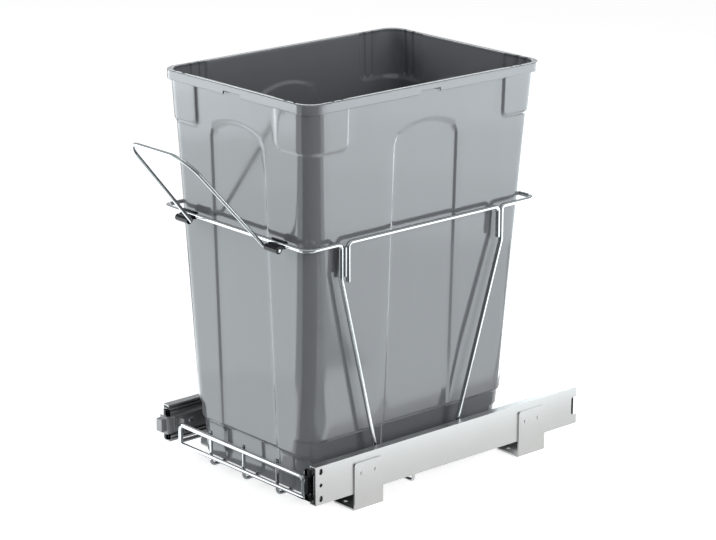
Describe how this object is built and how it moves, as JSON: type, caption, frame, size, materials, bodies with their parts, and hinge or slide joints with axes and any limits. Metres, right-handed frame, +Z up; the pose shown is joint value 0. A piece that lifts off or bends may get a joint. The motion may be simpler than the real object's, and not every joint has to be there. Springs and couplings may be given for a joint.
{
  "type": "pull out waste bin unit",
  "caption": "Pull-out waste unit for a base cabinet: a tapered bin in a chrome wire frame with a folding handle, on full-extension ball-bearing slides and floor brackets.",
  "frame": {"origin": "centre of the floor brackets' screw pattern, on the cabinet floor (z = 0)", "axes": "+Z up; -Y is the front, the way the unit pulls out; +X is to the right seen from the front"},
  "size_m": [0.2814, 0.5141, 0.4673],
  "materials": {
    "bin_plastic": "semi-gloss moulded grey plastic",
    "chrome_wire": "bright chrome-plated wire",
    "zinc_steel": "bright zinc-plated sheet, satin",
    "ball_steel": "polished bearing steel",
    "screw_steel": "nickel-plated screw",
    "black_plastic": "satin black moulded plastic",
    "catch_plastic": "pale grey moulded plastic"
  },
  "bodies": {
    "base": {"cabinet_member_left": "zinc_steel", "cabinet_member_right": "zinc_steel", "rear_stop_left": "black_plastic", "rear_stop_right": "black_plastic", "bracket_front_left": "zinc_steel", "bracket_front_right": "zinc_steel", "bracket_rear_left": "zinc_steel", "bracket_rear_right": "zinc_steel", "bracket_rivets": "zinc_steel"},
    "carriage": {"drawer_member_left": "zinc_steel", "drawer_member_right": "zinc_steel", "drawer_end_cap_left": "black_plastic", "drawer_end_cap_right": "black_plastic", "front_catch_left": "catch_plastic", "frame_plate_left": "zinc_steel", "frame_plate_right": "zinc_steel", "frame_plate_screws": "screw_steel", "front_top_wire": "chrome_wire", "lower_loop": "chrome_wire", "floor_wire_left": "chrome_wire", "floor_wire_middle": "chrome_wire", "floor_wire_right": "chrome_wire", "cross_wire_middle": "chrome_wire", "cross_wire_rear": "chrome_wire", "front_hoop": "chrome_wire", "rear_hoop": "chrome_wire", "side_bar_left": "chrome_wire", "side_bar_right": "chrome_wire", "junction_rod_left": "chrome_wire", "junction_rod_right": "chrome_wire", "handle_clip_left": "black_plastic", "handle_clip_right": "black_plastic"},
    "bin": {"bin": "bin_plastic"},
    "handle": {"handle": "chrome_wire"},
    "middle_left": {"middle_member_left": "zinc_steel"},
    "middle_right": {"middle_member_right": "zinc_steel"},
    "outer_cage_left": {"outer_ball_cage_left": "zinc_steel", "outer_balls_left": "ball_steel"},
    "outer_cage_right": {"outer_ball_cage_right": "zinc_steel", "outer_balls_right": "ball_steel"},
    "inner_cage_left": {"inner_ball_cage_left": "zinc_steel", "inner_balls_left": "ball_steel"},
    "inner_cage_right": {"inner_ball_cage_right": "zinc_steel", "inner_balls_right": "ball_steel"}
  },
  "joints": [
    {"name": "carriage_slide", "type": "slide", "parent": "base", "child": "carriage", "axis": [0, -1, 0], "range_m": [0, 0.4]},
    {"name": "middle_left_slide", "type": "slide", "parent": "base", "child": "middle_left", "axis": [0, -1, 0], "range_m": [0, 0.2]},
    {"name": "middle_right_slide", "type": "slide", "parent": "base", "child": "middle_right", "axis": [0, -1, 0], "range_m": [0, 0.2]},
    {"name": "outer_cage_left_slide", "type": "slide", "parent": "base", "child": "outer_cage_left", "axis": [0, -1, 0], "range_m": [0, 0.1]},
    {"name": "outer_cage_right_slide", "type": "slide", "parent": "base", "child": "outer_cage_right", "axis": [0, -1, 0], "range_m": [0, 0.1]},
    {"name": "inner_cage_left_slide", "type": "slide", "parent": "base", "child": "inner_cage_left", "axis": [0, -1, 0], "range_m": [0, 0.3]},
    {"name": "inner_cage_right_slide", "type": "slide", "parent": "base", "child": "inner_cage_right", "axis": [0, -1, 0], "range_m": [0, 0.3]},
    {"name": "bin_lift", "type": "slide", "parent": "carriage", "child": "bin", "axis": [0, 0, 1], "range_m": [0, 0.48]},
    {"name": "handle_hinge", "type": "hinge", "parent": "carriage", "child": "handle", "pos_m": [0, -0.2126, 0.3034], "axis": [1, 0, 0], "range_deg": [-41, 139]}
  ],
  "couplings": [
    {"joint": "middle_left_slide", "follows": "carriage_slide", "ratio": 0.5},
    {"joint": "middle_right_slide", "follows": "carriage_slide", "ratio": 0.5},
    {"joint": "outer_cage_left_slide", "follows": "carriage_slide", "ratio": 0.25},
    {"joint": "outer_cage_right_slide", "follows": "carriage_slide", "ratio": 0.25},
    {"joint": "inner_cage_left_slide", "follows": "carriage_slide", "ratio": 0.75},
    {"joint": "inner_cage_right_slide", "follows": "carriage_slide", "ratio": 0.75}
  ]
}
